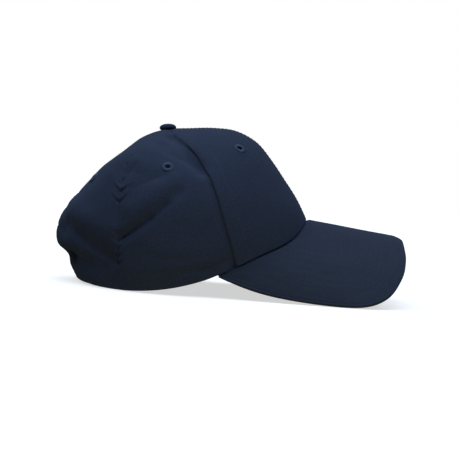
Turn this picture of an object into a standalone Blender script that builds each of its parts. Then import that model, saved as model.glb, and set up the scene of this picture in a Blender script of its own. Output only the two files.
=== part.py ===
"""A navy six-panel cap with a curved visor, resting on the floor.

Metres, +Z up. +X points forward to the visor's tip, +Y to the wearer's left, and z = 0 is the
floor that the hem and the visor's two low edges rest on. The origin lies on the floor under
the middle of the head opening.
"""

import math

import bpy
from mathutils import Matrix, Vector

# Crown sizes
CROWN_HEIGHT = 0.1205
FRONT_REACH = 0.1114
REAR_REACH = 0.0792
HALF_WIDTH = 0.0855
BUTTON_SETBACK = 0.0204
VISOR_DIP = 0.0072
DIP_RISE = 0.33

# Cloth and clearances
FRONT_WALL = 0.0018
SOFT_WALL = 0.0014
SEAM_GAP = 0.0004
SEAT_GAP = 0.0003

# Visor sizes
VISOR_REACH = 0.0755
VISOR_FLARE = 0.0111
VISOR_BOARD = 0.0018
VISOR_CLOTH = 0.0010

# Button and eyelets
BUTTON_RADIUS = 0.0064
BUTTON_RISE = 0.0034
BUTTON_RIM = 0.0014
BUTTON_TILT = 6.0
SHANK_RADIUS = 0.0024
SHANK_DEPTH = 0.0030
TOP_HOLE_RADIUS = 0.0030
EYELET_RADIUS = 0.0044
EYELET_BORE = 0.0015
EYELET_PROUD = 0.0005

# The crown's seams run from the hem to the button at the front, the temples, the back
# corners and the rear. One row is one level, evenly spaced from the hem up. Each seam stands
# out from the button's axis (shares of FRONT_REACH before it, of REAR_REACH behind it), to
# the side (shares of HALF_WIDTH) and up (shares of CROWN_HEIGHT).
CROWN_COLUMNS = (
    "front_out", "front_up",
    "temple_out", "temple_wide", "temple_up",
    "back_out", "back_wide", "back_up",
    "rear_out", "rear_up",
)
CROWN_LEVELS = (
    (1.00, 0.495, 0.546, 0.800, 0.191, 0.303, 0.788, 0.000, 0.775, 0.020),
    (0.92, 0.622, 0.494, 0.856, 0.336, 0.322, 0.848, 0.162, 0.90, 0.165),
    (0.825, 0.739, 0.437, 0.863, 0.485, 0.330, 0.869, 0.332, 1.00, 0.315),
    (0.727, 0.854, 0.375, 0.812, 0.626, 0.345, 0.826, 0.500, 0.922, 0.466),
    (0.617, 0.959, 0.311, 0.720, 0.746, 0.335, 0.731, 0.654, 0.765, 0.598),
    (0.474, 1.02, 0.234, 0.594, 0.840, 0.307, 0.600, 0.782, 0.600, 0.725),
    (0.316, 1.03, 0.150, 0.460, 0.910, 0.235, 0.440, 0.872, 0.415, 0.834),
    (0.158, 1.017, 0.071, 0.270, 0.958, 0.128, 0.240, 0.950, 0.226, 0.939),
    (0.0, 1.0, 0.0, 0.0, 1.0, 0.0, 0.0, 1.0, 0.0, 1.0),
)

# Folds and dents of the soft cloth. Each runs straight between two places on the crown, given
# by the angle from the front and the way up from the hem to the button. The width is a share
# of HALF_WIDTH, the height a share of FOLD_DEPTH: above nought it stands out, below it dips.
FOLD_DEPTH = 0.0040
FOLD_COLUMNS = ("angle", "way", "end_angle", "end_way", "width", "height")
RIGHT_FOLDS = (
    (78.0, 0.44, 101.0, 0.33, 0.09, -0.70),
    (101.0, 0.33, 116.0, 0.25, 0.08, -0.80),
    (86.0, 0.50, 112.0, 0.37, 0.09, 0.35),
    (92.0, 0.26, 68.0, 0.23, 0.16, -0.35),
    (92.0, 0.52, 119.0, 0.56, 0.08, -0.25),
    (84.0, 0.76, 62.0, 0.55, 0.08, -0.40),
    (70.0, 0.03, 62.0, 0.02, 0.06, -0.30),
    (152.0, 0.34, 124.0, 0.27, 0.11, 0.50),
    (152.0, 0.27, 137.0, 0.19, 0.08, -0.85),
    (137.0, 0.19, 125.0, 0.14, 0.08, -0.95),
    (180.0, 0.19, 156.0, 0.18, 0.07, 0.50),
    (180.0, 0.11, 158.0, 0.12, 0.06, -0.50),
    (158.0, 0.13, 130.0, 0.08, 0.07, -0.60),
)
LEFT_FOLDS = (
    (76.0, 0.36, 98.0, 0.40, 0.10, -0.55),
    (98.0, 0.40, 117.0, 0.31, 0.09, -0.75),
    (80.0, 0.24, 112.0, 0.20, 0.13, -0.40),
    (90.0, 0.58, 116.0, 0.52, 0.08, -0.30),
    (82.0, 0.78, 63.0, 0.58, 0.08, -0.35),
    (70.0, 0.03, 62.0, 0.02, 0.06, -0.30),
    (150.0, 0.36, 122.0, 0.31, 0.11, 0.45),
    (154.0, 0.29, 138.0, 0.23, 0.08, -0.70),
    (138.0, 0.23, 123.0, 0.18, 0.08, -0.90),
    (180.0, 0.19, 154.0, 0.19, 0.07, 0.50),
    (180.0, 0.11, 156.0, 0.13, 0.06, -0.50),
    (156.0, 0.14, 128.0, 0.09, 0.07, -0.55),
)

# Ribs of the visor from its middle to its end. Each starts on the hem at the given angle and
# ends on the outer edge: forward of its start (share of VISOR_REACH), out to the side of its
# start (share of VISOR_FLARE) and up from the floor (share of CROWN_HEIGHT).
VISOR_COLUMNS = ("angle", "reach", "flare", "up")
VISOR_RIBS = (
    (0.0, 0.99, 0.00, 0.426),
    (12.0, 1.02, 0.04, 0.392),
    (24.0, 1.11, 0.21, 0.303),
    (35.0, 1.19, 0.48, 0.199),
    (45.0, 1.20, 0.85, 0.083),
    (53.0, 1.09, 1.00, 0.021),
    (60.0, 0.80, 0.77, 0.017),
    (65.5, 0.43, 0.46, 0.047),
    (69.0, 0.015, 0.12, 0.127),
)

# Panels from the front round to the rear, the same on both sides. Angles in degrees.
PANEL_NAMES = ("label", "start", "end", "eyelet_angle", "eyelet_way")
PANELS = (
    ("front", 0.0, 60.0, 30.0, 0.53),
    ("side", 60.0, 120.0, 86.0, 0.58),
    ("rear", 120.0, 180.0, 156.0, 0.54),
)

# How finely the sheets and round pieces are divided
PANEL_GRID = (14, 18)
VISOR_GRID = (32, 6)
EDGE_SHARE = 0.015
ROUND_SIDES = 16
DOME_STEPS = 5
ANGLE_STEP = 0.5
WAY_STEP = 0.004
VISOR_STEP = 0.02


def clear_scene():
    """Remove what the file holds when it opens."""
    for old in list(bpy.data.objects):
        bpy.data.objects.remove(old, do_unlink=True)


def new_collection(name):
    """A collection in the scene."""
    made = bpy.data.collections.new(name)
    bpy.context.scene.collection.children.link(made)
    return made


def new_material(name, colour, roughness):
    """A plain surface in one colour."""
    made = bpy.data.materials.new(name)
    made.use_nodes = True
    shader = made.node_tree.nodes["Principled BSDF"]
    shader.inputs["Base Color"].default_value = (*colour, 1.0)
    shader.inputs["Roughness"].default_value = roughness
    shader.inputs["Metallic"].default_value = 0.0
    return made


def along(rows, place):
    """The row at a place counted in rows, on a smooth curve through a table's rows."""
    start = min(max(int(place), 0), len(rows) - 2)
    part = place - start
    second, third = rows[start], rows[start + 1]
    first = rows[start - 1] if start else [2 * a - b for a, b in zip(second, third)]
    last = start + 2 == len(rows)
    fourth = [2 * b - a for a, b in zip(second, third)] if last else rows[start + 2]
    blend = []
    for a, b, c, d in zip(first, second, third, fourth):
        curve = (2 * a - 5 * b + 4 * c - d) * part + (3 * b - a - 3 * c + d) * part * part
        blend.append(b + 0.5 * part * (c - a + curve))
    return blend


def around(front, temple, back, rear, angle):
    """A length that takes its four seam values at 0, 60, 120 and 180 degrees, smoothly."""
    level = (front + rear + 2 * temple + 2 * back) / 6
    first = (front - rear + temple - back) / 3
    second = (front + rear - temple - back) / 3
    third = (front - rear - 2 * temple + 2 * back) / 6
    bend = second * math.cos(2 * angle) + third * math.cos(3 * angle)
    return level + first * math.cos(angle) + bend


def sideways(temple, back, angle):
    """A sideways length that is nought at the front and rear."""
    first = (temple + back) / math.sqrt(3)
    second = (temple - back) / math.sqrt(3)
    return first * math.sin(angle) + second * math.sin(2 * angle)


def crown_levels():
    """The crown's levels and one beyond the top, so that the cloth is round under the button."""
    near = dict(zip(CROWN_COLUMNS, CROWN_LEVELS[-2]))
    depth = REAR_REACH / FRONT_REACH
    beyond = (
        -near["rear_out"] * depth, near["rear_up"],
        -near["back_out"] * depth, -near["back_wide"], near["back_up"],
        -near["temple_out"] / depth, -near["temple_wide"], near["temple_up"],
        -near["front_out"] / depth, near["front_up"],
    )
    return CROWN_LEVELS + (beyond,)


def base_point(degrees, way):
    """The crown's outer face before its folds. Angles run from the front to the left side."""
    levels = crown_levels()
    row = dict(zip(CROWN_COLUMNS, along(levels, way * (len(levels) - 2))))
    angle = math.radians(degrees)
    forward = around(
        row["front_out"] * FRONT_REACH,
        row["temple_out"] * FRONT_REACH,
        -row["back_out"] * REAR_REACH,
        -row["rear_out"] * REAR_REACH,
        angle,
    )
    side = sideways(row["temple_wide"], row["back_wide"], angle) * HALF_WIDTH
    up = around(row["front_up"], row["temple_up"], row["back_up"], row["rear_up"], angle)
    dip = VISOR_DIP * max(0.0, 1 - way / DIP_RISE) ** 2
    dip *= (math.sin(3 * angle) * max(0.0, math.cos(angle))) ** 2
    return Vector((forward - BUTTON_SETBACK, side, up * CROWN_HEIGHT - dip))


def crown_normal(degrees, way):
    """The direction out of the crown."""
    level = min(max(way, WAY_STEP), 1 - 4 * WAY_STEP)
    across = base_point(degrees + ANGLE_STEP, level) - base_point(degrees - ANGLE_STEP, level)
    upward = base_point(degrees, level + WAY_STEP) - base_point(degrees, level - WAY_STEP)
    return across.cross(upward).normalized()


def fold_height(degrees, way):
    """How far the folds move the cloth out or in."""
    side = -1.0 if degrees < 0 else 1.0
    here = base_point(degrees, way)
    height = 0.0
    for values in RIGHT_FOLDS if side < 0 else LEFT_FOLDS:
        fold = dict(zip(FOLD_COLUMNS, values))
        start = base_point(side * fold["angle"], fold["way"])
        run = base_point(side * fold["end_angle"], fold["end_way"]) - start
        share = min(max((here - start).dot(run) / run.dot(run), 0.0), 1.0)
        angle = fold["angle"] + share * (fold["end_angle"] - fold["angle"])
        nearest = base_point(side * angle, fold["way"] + share * (fold["end_way"] - fold["way"]))
        distance = (here - nearest).length / (fold["width"] * HALF_WIDTH)
        height += fold["height"] * FOLD_DEPTH * math.exp(-distance * distance)
    return height


def crown_point(degrees, way):
    """The crown's outer face with its folds."""
    return base_point(degrees, way) + crown_normal(degrees, way) * fold_height(degrees, way)


def column_shares(columns, edge):
    """Where a sheet's columns stand: a narrow one along each side edge, the others even."""
    inner = columns - 2
    even = [edge + (1 - 2 * edge) * i / inner for i in range(inner + 1)]
    return [0.0] + even + [1.0]


def grid_object(name, grid, point, material, home):
    """A sheet of quads through the points of a function of two shares."""
    columns, rows = grid
    shares = column_shares(columns, EDGE_SHARE)
    points = [point(share, j / rows) for j in range(rows + 1) for share in shares]
    faces = []
    for j in range(rows):
        for i in range(columns):
            corner = j * (columns + 1) + i
            faces.append((corner, corner + 1, corner + columns + 2, corner + columns + 1))
    mesh = bpy.data.meshes.new(name)
    mesh.from_pydata(points, [], faces)
    mesh.materials.append(material)
    mesh.shade_smooth()
    made = bpy.data.objects.new(name, mesh)
    home.objects.link(made)
    return made


def thicken(piece, wall):
    """Give a sheet its wall on the side away from its faces."""
    shell = piece.modifiers.new("wall", "SOLIDIFY")
    shell.thickness = wall
    shell.offset = -1.0
    shell.use_even_offset = True


def top_reach(degrees, way):
    """How far out from the button's axis the cloth is."""
    place = base_point(degrees, way)
    return math.hypot(place.x + BUTTON_SETBACK, place.y)


def tip_way(degrees):
    """The level at which the cloth stops short of the button's shank."""
    near_top = 0.9
    return 1 - (1 - near_top) * TOP_HOLE_RADIUS / top_reach(degrees, near_top)


def panel_point(start, end, side):
    """A function of two shares that runs over one panel and leaves its seams' gaps free."""
    def point(across, up):
        share = across if side > 0 else 1 - across
        degrees = start + (end - start) * share
        way = tip_way(degrees) * up
        margin = math.degrees(0.5 * SEAM_GAP / top_reach(degrees, way))
        degrees = start + margin + (end - start - 2 * margin) * share
        return crown_point(side * degrees, way)
    return point


def place_along(piece, centre, direction):
    """Put a round piece's middle at a place with its axis along a direction."""
    turn = direction.to_track_quat("Z", "Y").to_matrix().to_4x4()
    piece.matrix_world = Matrix.Translation(centre) @ turn


def make_cutter(name, radius, length, centre, direction, cutters):
    """A round bar that cuts a hole and isn't part of the cap."""
    bpy.ops.mesh.primitive_cylinder_add(vertices=ROUND_SIDES, radius=radius, depth=length)
    cutter = bpy.context.object
    cutter.name = name
    for holder in list(cutter.users_collection):
        holder.objects.unlink(cutter)
    cutters.objects.link(cutter)
    cutter.hide_render = True
    cutter.display_type = "WIRE"
    place_along(cutter, centre, direction)
    return cutter


def turned_object(name, profile, closed, material, home):
    """A profile of radius and height, listed from its top down its outer side, turned round."""
    mesh = bpy.data.meshes.new(name)
    count = len(profile)
    edges = [(i, i + 1) for i in range(count - 1)]
    if closed:
        edges.append((count - 1, 0))
    mesh.from_pydata([(radius, 0.0, height) for radius, height in profile], edges, [])
    mesh.materials.append(material)
    made = bpy.data.objects.new(name, mesh)
    home.objects.link(made)
    screw = made.modifiers.new("turn", "SCREW")
    screw.axis = "Z"
    screw.steps = ROUND_SIDES
    screw.render_steps = ROUND_SIDES
    screw.use_merge_vertices = True
    screw.merge_threshold = 0.00001
    screw.use_smooth_shade = True
    return made


def make_panel(panel, side, word, material, home, cutters):
    """One panel of the crown with the hole for its eyelet."""
    point = panel_point(panel["start"], panel["end"], side)
    piece = grid_object(f"{panel['label']}_panel_{word}", PANEL_GRID, point, material, home)
    wall = FRONT_WALL if panel["label"] == "front" else SOFT_WALL
    thicken(piece, wall)
    angle = side * panel["eyelet_angle"]
    outward = crown_normal(angle, panel["eyelet_way"])
    centre = crown_point(angle, panel["eyelet_way"]) - outward * (0.5 * wall)
    name = f"eyelet_{panel['label']}_{word}"
    bore = EYELET_RADIUS + SEAT_GAP
    cutter = make_cutter(f"{name}_cutter", bore, 10 * wall, centre, outward, cutters)
    cut = piece.modifiers.new("eyelet", "BOOLEAN")
    cut.operation = "DIFFERENCE"
    cut.solver = "EXACT"
    cut.object = cutter
    make_eyelet(name, centre, outward, wall, material, home)


def make_eyelet(name, centre, outward, wall, material, home):
    """A sewn ring that fills the hole and stands a little proud on both sides."""
    high = 0.5 * wall + EYELET_PROUD
    low = 0.5 * wall
    lip = 0.5 * (EYELET_RADIUS + EYELET_BORE)
    profile = (
        (lip, high),
        (EYELET_RADIUS, low),
        (EYELET_RADIUS, -low),
        (lip, -high),
        (EYELET_BORE, -low),
        (EYELET_BORE, low),
    )
    ring = turned_object(name, profile, True, material, home)
    place_along(ring, centre, outward)


def make_button(material, home):
    """The covered button on top, seated on the cloth, with its shank through the top hole."""
    tilt = math.radians(BUTTON_TILT)
    upward = Vector((-math.sin(tilt), 0.0, math.cos(tilt)))
    top = base_point(0.0, 1.0)
    seat = 0.0
    for degrees in range(0, 360, 15):
        turn = degrees if degrees <= 180 else degrees - 360
        edge = 1 - (1 - tip_way(turn)) * BUTTON_RADIUS / TOP_HOLE_RADIUS
        seat = max(seat, (crown_point(turn, edge) - top).dot(upward))
    profile = []
    for step in range(DOME_STEPS + 1):
        angle = 0.5 * math.pi * step / DOME_STEPS
        height = BUTTON_RIM + (BUTTON_RISE - BUTTON_RIM) * math.cos(angle)
        profile.append((BUTTON_RADIUS * math.sin(angle), height))
    profile += [
        (BUTTON_RADIUS, 0.3 * BUTTON_RIM),
        (BUTTON_RADIUS - 0.3 * BUTTON_RIM, 0.0),
        (SHANK_RADIUS, 0.0),
        (SHANK_RADIUS, -SHANK_DEPTH),
        (0.0, -SHANK_DEPTH),
    ]
    button = turned_object("button", profile, False, material, home)
    place_along(button, top + upward * (seat + SEAT_GAP), upward)


def all_ribs():
    """The visor's ribs from one end to the other, so that its middle is smooth."""
    far = [(-angle, reach, -flare, up) for angle, reach, flare, up in VISOR_RIBS[:0:-1]]
    return far + list(VISOR_RIBS)


def visor_surface(across, out):
    """The visor's top, from its right end at -1 to its left at 1, and from hem to edge."""
    ribs = all_ribs()
    rib = dict(zip(VISOR_COLUMNS, along(ribs, (0.5 + 0.5 * across) * (len(ribs) - 1))))
    hem = base_point(rib["angle"], 0.0)
    forward = hem.x + rib["reach"] * VISOR_REACH
    edge = Vector((forward, hem.y + rib["flare"] * VISOR_FLARE, rib["up"] * CROWN_HEIGHT))
    start = hem + (edge - hem).normalized() * SEAM_GAP
    return start.lerp(edge, out)


def visor_point(depth):
    """A function of two shares that runs over the visor at a depth under its top."""
    def point(across, out):
        wide = 1 - 2 * across
        low = max(wide - VISOR_STEP, -1.0)
        high = min(wide + VISOR_STEP, 1.0)
        over = visor_surface(high, out) - visor_surface(low, out)
        forth = visor_surface(wide, 1.0) - visor_surface(wide, 0.0)
        return visor_surface(wide, out) + over.cross(forth).normalized() * depth
    return point


def make_visor(material, home):
    """The stiff top of the visor and the cloth under it."""
    top = grid_object("visor_top", VISOR_GRID, visor_point(0.0), material, home)
    thicken(top, VISOR_BOARD)
    under = visor_point(VISOR_BOARD + SEAT_GAP)
    underside = grid_object("visor_underside", VISOR_GRID, under, material, home)
    thicken(underside, VISOR_CLOTH)


def main():
    """Build the cap."""
    clear_scene()
    home = new_collection("cap")
    cutters = new_collection("cutters")
    cloth = new_material("navy_twill", (0.014, 0.019, 0.036), 0.85)
    thread = new_material("navy_thread", (0.020, 0.028, 0.055), 0.70)
    for values in PANELS:
        panel = dict(zip(PANEL_NAMES, values))
        for side, word in ((-1, "right"), (1, "left")):
            make_panel(panel, side, word, cloth, home, cutters)
    make_button(cloth, home)
    make_visor(cloth, home)


main()
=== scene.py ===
import math

import bpy
import numpy as np
from bpy.props import FloatProperty, FloatVectorProperty, PointerProperty
from mathutils import Matrix, Vector


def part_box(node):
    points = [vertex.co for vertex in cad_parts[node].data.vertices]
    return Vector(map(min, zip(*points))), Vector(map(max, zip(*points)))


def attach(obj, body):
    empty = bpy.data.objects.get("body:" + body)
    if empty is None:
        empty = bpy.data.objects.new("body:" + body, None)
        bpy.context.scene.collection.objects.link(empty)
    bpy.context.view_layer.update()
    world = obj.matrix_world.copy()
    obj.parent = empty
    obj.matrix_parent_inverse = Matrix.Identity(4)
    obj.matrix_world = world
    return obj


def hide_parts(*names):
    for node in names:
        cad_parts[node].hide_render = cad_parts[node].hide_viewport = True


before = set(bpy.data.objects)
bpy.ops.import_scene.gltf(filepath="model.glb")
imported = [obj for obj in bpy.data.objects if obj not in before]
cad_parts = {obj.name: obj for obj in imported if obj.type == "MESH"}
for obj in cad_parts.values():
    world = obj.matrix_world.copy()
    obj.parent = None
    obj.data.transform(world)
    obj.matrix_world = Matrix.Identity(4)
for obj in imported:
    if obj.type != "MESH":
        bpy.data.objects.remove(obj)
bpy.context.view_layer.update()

bl_info = {
    "name": "Navy six-panel cap",
    "version": (1, 0, 0),
    "blender": (4, 5, 0),
    "location": "3D View > Sidebar > Cap",
    "description": "Sewn panels, visor, eyelets, button and stitching round the cap's solids",
    "category": "Object",
}

# The crown's form, the same sizes and tables as the solids. One row is one level from the hem
# up. Each seam stands out from the button's axis, to the side and up.
CROWN_HEIGHT = 0.1205
FRONT_REACH = 0.1114
REAR_REACH = 0.0792
HALF_WIDTH = 0.0855
BUTTON_SETBACK = 0.0204
VISOR_DIP = 0.0072
DIP_RISE = 0.33
FRONT_OUT, FRONT_UP, TEMPLE_OUT, TEMPLE_WIDE, TEMPLE_UP = range(5)
BACK_OUT, BACK_WIDE, BACK_UP, REAR_OUT, REAR_UP = range(5, 10)
CROWN_LEVELS = (
    (1.00, 0.495, 0.546, 0.800, 0.191, 0.303, 0.788, 0.000, 0.775, 0.020),
    (0.92, 0.622, 0.494, 0.856, 0.336, 0.322, 0.848, 0.162, 0.90, 0.165),
    (0.825, 0.739, 0.437, 0.863, 0.485, 0.330, 0.869, 0.332, 1.00, 0.315),
    (0.727, 0.854, 0.375, 0.812, 0.626, 0.345, 0.826, 0.500, 0.922, 0.466),
    (0.617, 0.959, 0.311, 0.720, 0.746, 0.335, 0.731, 0.654, 0.765, 0.598),
    (0.474, 1.02, 0.234, 0.594, 0.840, 0.307, 0.600, 0.782, 0.600, 0.725),
    (0.316, 1.03, 0.150, 0.460, 0.910, 0.235, 0.440, 0.872, 0.415, 0.834),
    (0.158, 1.017, 0.071, 0.270, 0.958, 0.128, 0.240, 0.950, 0.226, 0.939),
    (0.0, 1.0, 0.0, 0.0, 1.0, 0.0, 0.0, 1.0, 0.0, 1.0),
)

# Folds: angle and way of both ends, width (share of HALF_WIDTH), height (share of FOLD_DEPTH)
FOLD_DEPTH = 0.0040
RIGHT_FOLDS = (
    (82, 0.43, 118, 0.243, 0.050, -0.42),
    (103, 0.322, 118, 0.243, 0.052, -0.40),
    (84, 0.505, 112, 0.36, 0.085, 0.42),
    (71, 0.88, 64.5, 0.52, 0.055, -0.52),
    (92, 0.26, 68, 0.23, 0.16, -0.35),
    (92, 0.52, 119, 0.56, 0.08, -0.25),
    (84, 0.76, 62, 0.55, 0.08, -0.40),
    (70, 0.03, 62, 0.02, 0.06, -0.30),
    (152, 0.34, 124, 0.27, 0.11, 0.50),
    (155, 0.285, 141, 0.215, 0.075, -0.80),
    (133, 0.176, 124, 0.14, 0.08, -0.72),
    (180, 0.19, 156, 0.18, 0.07, 0.50),
    (180, 0.11, 158, 0.12, 0.06, -0.50),
    (158, 0.13, 130, 0.08, 0.07, -0.60),
)
LEFT_FOLDS = (
    (77, 0.36, 94, 0.395, 0.09, -0.50),
    (102, 0.38, 116, 0.32, 0.08, -0.55),
    (70, 0.84, 65, 0.58, 0.055, -0.30),
    (80, 0.24, 112, 0.20, 0.13, -0.40),
    (90, 0.58, 116, 0.52, 0.08, -0.30),
    (82, 0.78, 63, 0.58, 0.08, -0.35),
    (70, 0.03, 62, 0.02, 0.06, -0.30),
    (150, 0.36, 122, 0.31, 0.11, 0.45),
    (154, 0.29, 142, 0.245, 0.08, -0.60),
    (134, 0.215, 124, 0.18, 0.08, -0.60),
    (180, 0.19, 154, 0.19, 0.07, 0.50),
    (180, 0.11, 156, 0.13, 0.06, -0.50),
    (156, 0.14, 128, 0.09, 0.07, -0.55),
)

# Finer creases, laid out as the folds are, on both sides
CREASES = (
    (112, 0.60, 121, 0.49, 0.022, -0.16),
    (90, 0.384, 119, 0.238, 0.030, -0.26),
    (86, 0.075, 70, 0.045, 0.022, -0.20),
    (76, 0.062, 63, 0.052, 0.014, -0.24),
    (78, 0.030, 62.5, 0.024, 0.016, 0.16),
    (148, 0.245, 136, 0.175, 0.024, -0.24),
    (133, 0.165, 122, 0.125, 0.022, -0.22),
    (142, 0.155, 127, 0.10, 0.020, -0.20),
    (168, 0.30, 158, 0.24, 0.030, -0.16),
    (172, 0.155, 160, 0.135, 0.022, -0.18),
    (90, 0.73, 70, 0.62, 0.030, -0.10),
    (180, 0.470, 164, 0.435, 0.030, -0.17),
    (180, 0.385, 166, 0.360, 0.026, -0.19),
    (180, 0.275, 164, 0.255, 0.026, -0.17),
    (104, 0.17, 84, 0.12, 0.035, -0.12),
    (112, 0.46, 96, 0.52, 0.030, -0.12),
)

# Puckers that run up and away from the seam at the back corner: way up, height share
PUCKERS = (
    (0.04, 0.40), (0.08, 0.75), (0.12, 1.00), (0.155, 1.05), (0.19, 0.95), (0.225, 1.20),
    (0.255, 0.90), (0.305, 0.30), (0.345, 0.25), (0.36, 0.45), (0.395, 1.50), (0.445, 1.55),
    (0.505, 0.50), (0.55, 0.25), (0.60, 0.30), (0.66, 0.35),
)

# Ribs of the visor: angle on the hem, forward (share of VISOR_REACH), out to the side (share
# of VISOR_FLARE) and up (share of CROWN_HEIGHT)
VISOR_REACH = 0.0755
VISOR_FLARE = 0.0111
VISOR_RIBS = (
    (0.0, 0.99, 0.00, 0.426),
    (12.0, 1.02, 0.04, 0.392),
    (24.0, 1.11, 0.21, 0.303),
    (35.0, 1.19, 0.48, 0.199),
    (45.0, 1.20, 0.85, 0.083),
    (53.0, 1.09, 1.00, 0.021),
    (60.0, 0.80, 0.77, 0.017),
    (65.5, 0.43, 0.46, 0.047),
    (69.0, 0.015, 0.12, 0.127),
)

# How the visor's edge curls down at its middle: metres, start of the curl from hem to edge,
# and its spread from the middle to the ends
TIP_DROOP = 0.0022
TIP_START = 0.88
TIP_SPREAD = 0.30

# Along the visor from end to end, how its board thins over a length at both ends, the roll
# of its edge as a share of the board, its least reach, the gap between its two layers, and
# the flat size of each layer
VISOR_ARC = 0.27
END_TAPER = 0.016
END_SHARE = 0.30
VISOR_ROLL = 0.6
LEAST_REACH = 0.002
LAYER_GAP = 0.00005

# The visor's cloth: waves as height and size, then the groove inside its edge, the tuck at
# the hem and the sewn channels as depth and width, with their distances from the edge
VISOR_WAVES = (0.00012, 0.035)
EDGE_GROOVE = (0.00030, 0.0005)
EDGE_GROOVE_IN = 0.0017
HEM_TUCK = (0.00120, 0.0013)
CHANNEL = (0.00013, 0.0009)
CHANNELS = (0.0042, 0.0115, 0.0190, 0.0265, 0.0340, 0.0415, 0.0490)

# Panels: label, first and last angle, eyelet's angle and way
PANELS = (
    ("front", 0.0, 60.0, 30.0, 0.53),
    ("side", 60.0, 120.0, 86.0, 0.58),
    ("rear", 120.0, 180.0, 156.0, 0.54),
)

# How the cloth draws in at each seam, in metres: depth and width on the side nearer the
# front, then on the side nearer the rear, and the radius of the turned edges
SEAM_FORMS = (
    (0.0, 0.00030, 0.0018, 0.00030, 0.0018, 0.00055),
    (60.0, 0.00035, 0.0020, 0.00220, 0.0062, 0.00085),
    (120.0, 0.00030, 0.0024, 0.00030, 0.0024, 0.00035),
    (180.0, 0.00030, 0.0020, 0.00030, 0.0020, 0.00045),
)
SEAM_ROLLS = {form[0]: form[5] for form in SEAM_FORMS}

# The roll of an edge that stays plain. Towards the button the turned edges narrow with the
# panel and the seams' depth fades out.
PLAIN_ROLL = 0.0002
LEAST_ROLL = 0.0002
ROLL_SHARE = 0.012
FADE_START = 0.008
FADE_LENGTH = 0.024

# Soft waves: how many are added up, and how their sizes spread
WAVE_COUNT = 7
WAVE_SPREAD = (0.7, 1.6)

# Soft waves of the crown's cloth as height, seed and size. The stiff front takes a share.
CROWN_WAVES = ((0.00022, 5, 0.030), (0.00010, 8, 0.012))
FRONT_SHARE = 0.25
SOFT_FROM = 50.0
SOFT_SPAN = 25.0

# A pucker's ridge above its line, its groove, how far it runs from the seam, and its lean
RIDGE_PLACE = 0.0016
RIDGE_WIDTH = 0.0011
GROOVE_WIDTH = 0.0010
GROOVE_SHARE = 0.9
PUCKER_RUN = 0.0045
PUCKER_LEAN = (0.70, 1.0)

# Holes in the cloth: round the button's shank, reckoned from a level near the top, and past
# the bore of the eyelets, which stand off the cloth a little
TIP_HOLE = 0.0030
NEAR_TOP = 0.9
HOLE_MARGIN = 0.0009
EYELET_LIFT = 0.0001

# Tapes inside the seams. They start in the wall, at a share of its thickness.
TAPE_SPAN = (0.012, 0.985)
TAPE_HALF_WIDTH = 0.0065
TAPE_WALL = 0.0006
TAPE_SINK = 0.92
TAPE_ROWS = 70
TAPE_COLUMNS = 9
TAPE_MAP = 0.15

# A sewn eyelet: its stitches, steps round one stitch, sides of the ring, its height, the share
# of that between the stitches and the share added on them, and how uneven they are in height
# and reach
RING_STITCHES = 34
RING_STEPS = 6
RING_SIDES = 14
RING_HEIGHT = 0.00085
RING_LOW = 0.55
RING_RIDGE = 0.45
UNEVEN_HEIGHT = 0.14
UNEVEN_REACH = 0.05

# Lean of the button to the back in degrees, the height of its rim as a share of its rise, and
# how far its top stays under the solid's
BUTTON_TILT = 6.0
RIM_SHARE = 0.26
TOP_CARE = 0.0001

# How full the button is under and over its rim (powers of the reach), and its gathers, two to
# a wave: waves round the rim, depth, start as a share of the reach, span from there, and the
# level at which they end
FULL_UNDER = 0.45
FULL_OVER = 0.85
GATHERS = 5.5
GATHER_DEPTH = 0.035
GATHER_START = 0.72
GATHER_SPAN = 0.28
GATHER_LEVEL = 0.6

# Stitch rows: their points, their distances from seams, front edges and hem, the levels and
# angles they run between, and how far a stitch strays
LINE_POINTS = 160
SEAM_ROW = 0.0024
FRONT_ROW = 0.0115
HEM_ROW = 0.0042
SEAM_SPAN = (0.012, 0.93)
FRONT_SPAN = (0.02, 0.66)
HEM_RUNS = ((-177.5, -121.5), (-118.5, -71.0), (71.0, 118.5), (121.5, 177.5))
STRAY = 0.00005

# A stitch: how much it thins at its ends, and in thread radii how far they dive into the
# cloth and how high its middle stands
STITCH_THINS = 0.45
STITCH_DIVES = 1.15
STITCH_STANDS = 0.25

# Visor rows: their points and ends, the search for their place, and how near the hem they stop
VISOR_POINTS = 400
VISOR_ENDS = 0.985
SEARCH_STEPS = 22
ROW_CARE = 0.0004
HEM_CLEAR = 0.0025

# Cloth finishes: name, colour, pitch of the twill, strength of its bump, and sheen
CLOTHS = (
    ("crown_twill", "crown", 0.00078, 0.55, 0.04),
    ("visor_twill", "visor", 0.00078, 0.55, 0.04),
    ("button_twill", "crown", 0.00078, 0.50, 0.04),
    ("inner_twill", "inside", 0.00100, 0.40, 0.05),
)

# Thread finishes: name, colour, how much lighter than it, shine, and sheen
THREADS = (
    ("topstitch_thread", "crown", 1.35, 0.12, 0.05),
    ("front_thread", "thread", 1.0, 0.20, 0.10),
    ("eyelet_satin", "thread", 2.1, 0.20, 0.0),
)

# Soft lamps: name, place, power and colour, all turned to one point
LAMPS = (
    ("low_card", (0.40, -0.85, -0.70), 6.5, (1.0, 0.90, 0.68)),
    ("rear_key", (-0.9, -0.5, 1.1), 3.4, (1.0, 0.97, 0.92)),
)
LAMP_WIDTH = 0.8
LAMP_TARGET = (0.02, 0.0, 0.05)

# Light of the sky from straight down at 0 to straight up at 1
SKY = (
    (0.0, (0.06, 0.05, 0.01)),
    (0.49, (0.04, 0.035, 0.01)),
    (0.52, (0.03, 0.035, 0.06)),
    (0.70, (0.04, 0.05, 0.08)),
    (0.76, (0.20, 0.23, 0.25)),
    (0.86, (0.62, 0.73, 0.78)),
    (0.925, (1.60, 1.90, 2.25)),
    (1.0, (2.30, 2.75, 3.50)),
)

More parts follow.
